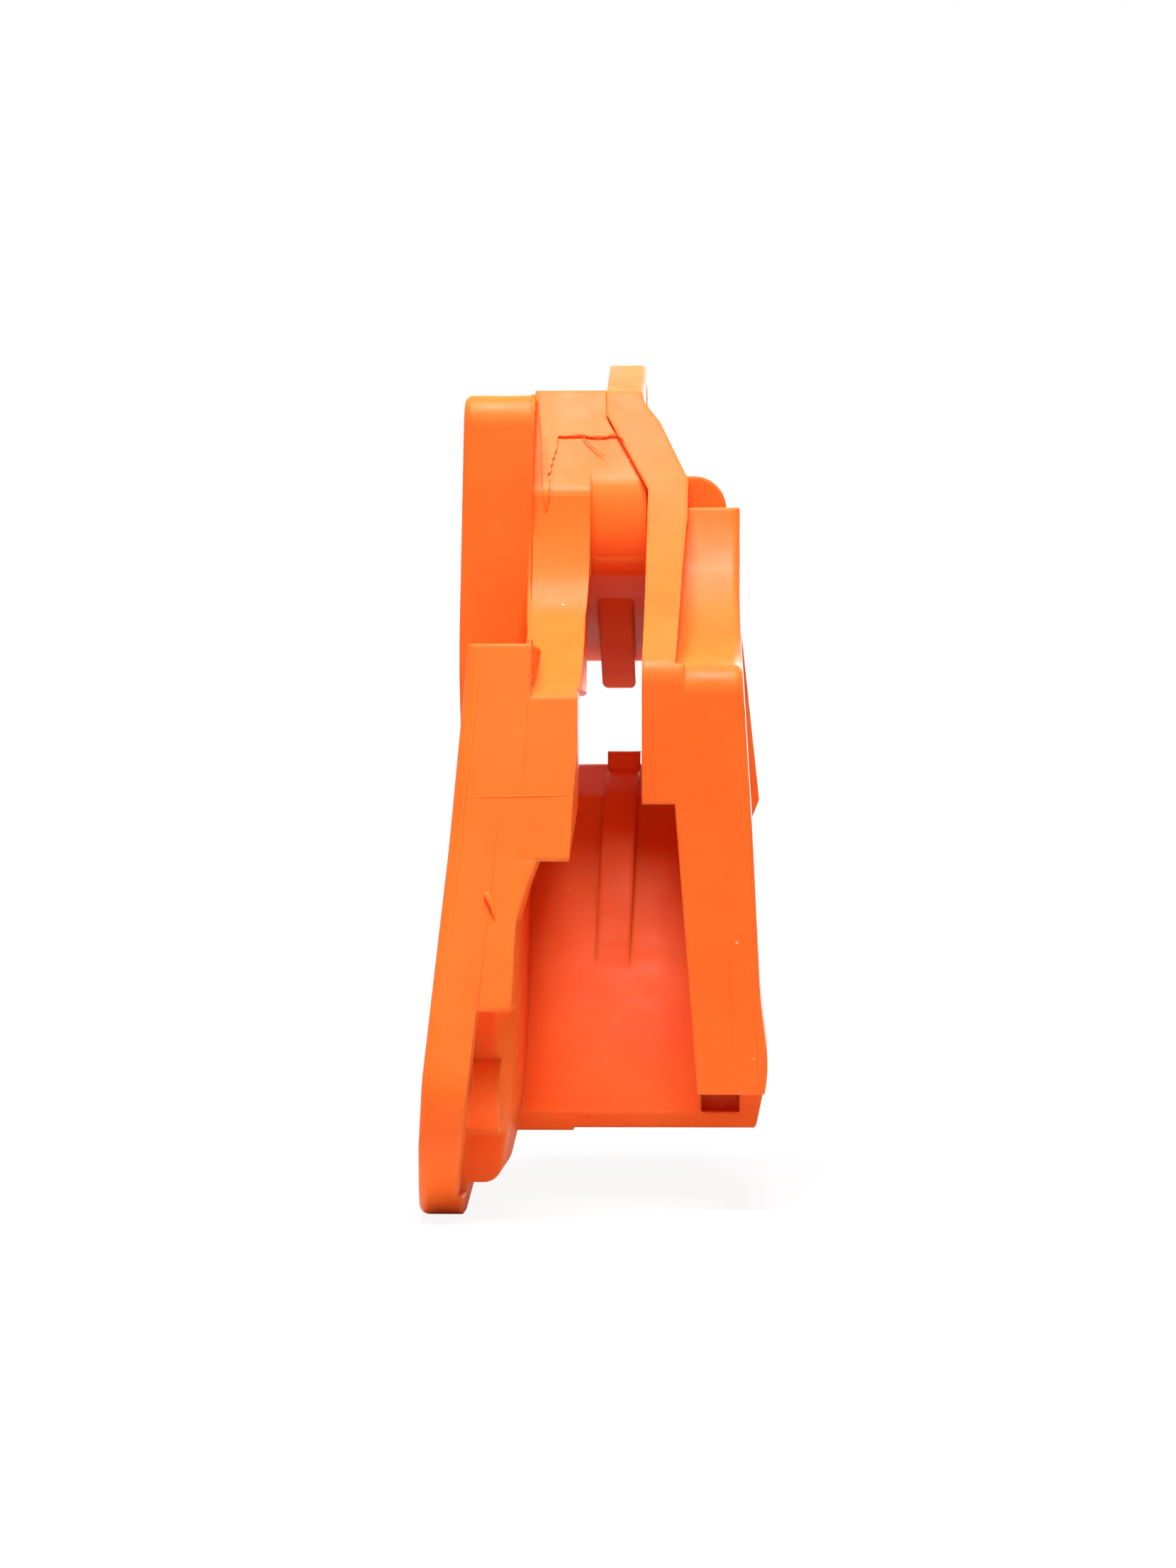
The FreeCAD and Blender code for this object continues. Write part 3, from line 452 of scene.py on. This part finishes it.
def raise_skin():
    """A thin skin of plastic left above the crack on the roof, with a ragged tail down the left."""
    # Each row: how far down the photograph, and its left and right ends
    rows = ((556, 761, 855), (570, 761, 855), (590, 761, 856), (602, 762, 861), (609, 762.5, 865),
            (613, 763, 868), (616.5, 763, 876), (617.5, 763, 787.5), (622, 763.5, 787),
            (627, 763.5, 786.2), (632, 763.5, 786.4), (637, 763.5, 785.4), (641, 763.5, 782.6),
            (646, 764, 782.9), (650, 764, 779.5), (655, 764, 779.8), (660, 764, 777),
            (664, 764, 778), (668, 764.5, 777), (671, 765, 772.8), (675, 765, 773.4), (678, 765, 776),
            (682, 765, 774.8), (688, 765.5, 776), (694, 766, 774.2), (699, 766.5, 775), (704, 767, 773),
            (710, 767.5, 773.6), (717, 768.5, 772.2), (724, 770, 771.2))
    bpy.ops.object.select_all(action="DESELECT")
    bpy.ops.mesh.primitive_grid_add(x_subdivisions=8, y_subdivisions=len(rows) - 1, size=1.0)
    piece = bpy.context.active_object
    piece.name = "roof_skin"
    bpy.ops.object.mode_set(mode="EDIT")
    bpy.ops.mesh.select_mode(type="VERT")
    for row, (down, left, right) in enumerate(rows):
        height = 0.5 - row / (len(rows) - 1)
        start, _ = seen_at(left, down)
        end, _ = seen_at(right, down)
        bpy.ops.mesh.select_all(action="DESELECT")
        bpy.ops.object.mode_set(mode="OBJECT")
        for vertex in piece.data.vertices:
            vertex.select = abs(vertex.co.y - height) < 0.2 / len(rows) and abs(vertex.co.z) < 1e-6
        bpy.ops.object.mode_set(mode="EDIT")
        wide = (end - start).length
        bpy.ops.transform.resize(value=(wide, 1.0, 1.0), center_override=(-0.5, height, 0.0))
        move = start - Vector((-0.5, height, 0.0))
        bpy.ops.transform.translate(value=(move.x, move.y, move.z))
    bpy.ops.object.mode_set(mode="OBJECT")
    bedded = piece.modifiers.new("bedded", "SHRINKWRAP")
    bedded.target = guide
    bedded.wrap_method = "NEAREST_SURFACEPOINT"
    bpy.ops.object.modifier_apply(modifier="bedded")
    thick = piece.modifiers.new("thick", "SOLIDIFY")
    thick.thickness = SKIN_THICKNESS
    thick.offset = 0.0
    bpy.ops.object.modifier_apply(modifier="thick")
    finish_piece(piece, 30)


def trim_flash():
    """Flash and burrs left on the casting."""
    # Along the block's edge, on its rounded top corner and a little way down
    ridge = ((-34.2, -0.75, 0.3), (-34.9, -1.0, 0.75), (-35.5, -1.35, 0.4), (-36.1, -1.75, 0.85),
             (-36.8, -2.4, 0.5), (-37.2, -2.9, 0.8), (-37.6, -3.7, 0.35), (-37.85, -4.5, 0.7),
             (-37.95, -5.4, 0.45), (-38.0, -6.2, 0.65), (-38.0, -7.3, 0.15))
    draw_bead("block_flash", [(Vector((BLOCK_SIDE, y, z)) * MM, width * MM) for y, z, width in ridge])
    pull_bead("crack_lip", ((788, 616, 0.15), (797, 617.5, 0.3), (806, 616.2, 0.25), (815, 615, 0.42),
                            (824, 616, 0.5), (832, 618, 0.3), (845, 619, 0.2), (856, 618, 0.35),
                            (866, 614, 0.55), (872, 616, 0.4), (877, 620, 0.35), (881, 625, 0.1)), 0.28)
    pull_bead("flash_hair", ((823, 619, 0.2), (827, 625, 0.2), (833, 631, 0.2), (840, 637, 0.19),
                             (847, 643, 0.16), (854, 647, 0.08)), 0.5)
    pull_bead("ear_line", ((882, 628, 0.1), (888, 640, 0.16), (896, 655, 0.16), (904, 668, 0.16),
                           (911, 682, 0.12)), 0.06)
    pull_bead("leg_nib", ((685, 1259, 0.3), (687, 1264, 0.95), (690, 1270, 0.85), (693, 1277, 0.7),
                          (695.5, 1284, 0.6), (697, 1292, 0.3)), 0.3)
    pull_bead("leg_tick", ((746.5, 948, 0.1), (748.5, 953, 0.35), (749, 958, 0.3), (748, 963, 0.1)), 0.1)


def draw_seams():
    """The faint lines where the mould's parts met."""
    pull_bead("leg_seam", ((703, 1130, 0.12), (700, 1180, 0.24), (695, 1230, 0.24), (687, 1300, 0.22),
                           (680, 1360, 0.22), (674, 1420, 0.2), (668, 1480, 0.16), (664, 1540, 0.1)), -0.02)
    pull_bead("lip_seam", ((745, 975, 0.1), (742.5, 1010, 0.26), (740, 1060, 0.26), (736.5, 1110, 0.24),
                           (735, 1135, 0.1)), -0.02)
    pull_bead("leg_cross_seam", ((664, 1124, 0.1), (690, 1124, 0.24), (720, 1123.5, 0.22), (750, 1123, 0.24),
                                 (780, 1122.5, 0.22), (802, 1122, 0.1)), -0.03)
    pull_bead("right_leg_seam", ((1029, 1320, 0.1), (1030, 1380, 0.26), (1032, 1440, 0.26),
                                 (1034, 1500, 0.1)), -0.03)
    pull_bead("block_seam", ((749, 735, 0.2), (748, 770, 0.8), (747.5, 820, 0.9), (747, 870, 0.9),
                             (748, 900, 0.7), (750, 916, 0.2)), -0.22)


def round_rims():
    """A soft low rim along the outer edge of each leg."""
    pull_bead("leg_rim", ((675, 920, 0.3), (673, 950, 0.75), (669, 1000, 0.8), (663.5, 1050, 0.8),
                          (657.5, 1100, 0.8), (652, 1150, 0.75), (646.5, 1200, 0.75), (642, 1250, 0.7),
                          (636.5, 1300, 0.7), (630, 1350, 0.6), (625, 1400, 0.5), (618, 1470, 0.3),
                          (614, 1520, 0.1)), -0.24)
    pull_bead("right_leg_rim", ((1046, 950, 0.1), (1050, 1000, 0.28), (1054, 1100, 0.26), (1057, 1200, 0.26),
                                (1059, 1300, 0.3), (1063, 1400, 0.34), (1069, 1470, 0.4), (1073, 1505, 0.45),
                                (1069, 1528, 0.4), (1062, 1536, 0.15)), -0.05)


look_at_guide()
light_studio()
lay_floor()
guide.data.materials.clear()
guide.data.materials.append(cast_plastic("cast_orange_plastic", BODY_GLOW, BODY_SOFTNESS, ORANGE, PALE_ORANGE))
thin_plastic = cast_plastic("thin_orange_plastic", THIN_GLOW, THIN_SOFTNESS, ORANGE, PALE_ORANGE)
bpy.context.view_layer.update()
fill_cheek_corner()
swell_dome()
raise_skin()
trim_flash()
draw_seams()
round_rims()
